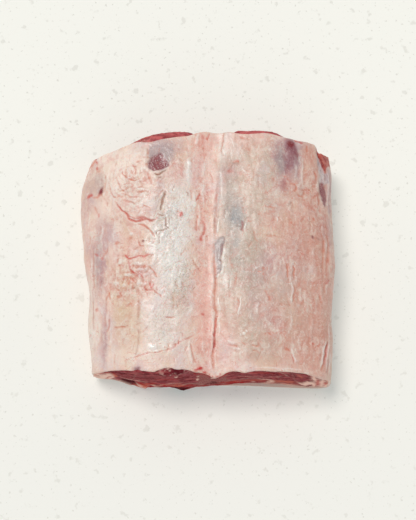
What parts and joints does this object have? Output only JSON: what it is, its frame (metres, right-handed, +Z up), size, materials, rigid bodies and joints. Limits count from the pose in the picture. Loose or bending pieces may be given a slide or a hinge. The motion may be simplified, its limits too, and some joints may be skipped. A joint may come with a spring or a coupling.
{
  "type": "raw lamb saddle",
  "caption": "Raw lamb saddle lying fat side up: both loins on the backbone under a wrinkled fat cover, flanks folded under, a knife-cut face of dark lean at each end.",
  "frame": {"origin": "on the surface that the saddle lies on, under the middle of its box", "axes": "+Z up out of the fat cover, +Y along the backbone to the far cut end, +X to the saddle's right"},
  "size_m": [0.1916, 0.1902, 0.0645],
  "materials": {
    "raw_fat": "moist raw lamb fat: peach, cream and pink, semi-gloss with wetter white membrane, wrinkled, with fine blood vessels and grey bruises",
    "raw_lean": "moist raw lean lamb: dark red-brown cut across the grain, with a faint purple-grey sheen and pale fat seams"
  },
  "bodies": {
    "root": {"lamb_saddle": "raw_fat"}
  },
  "joints": []
}
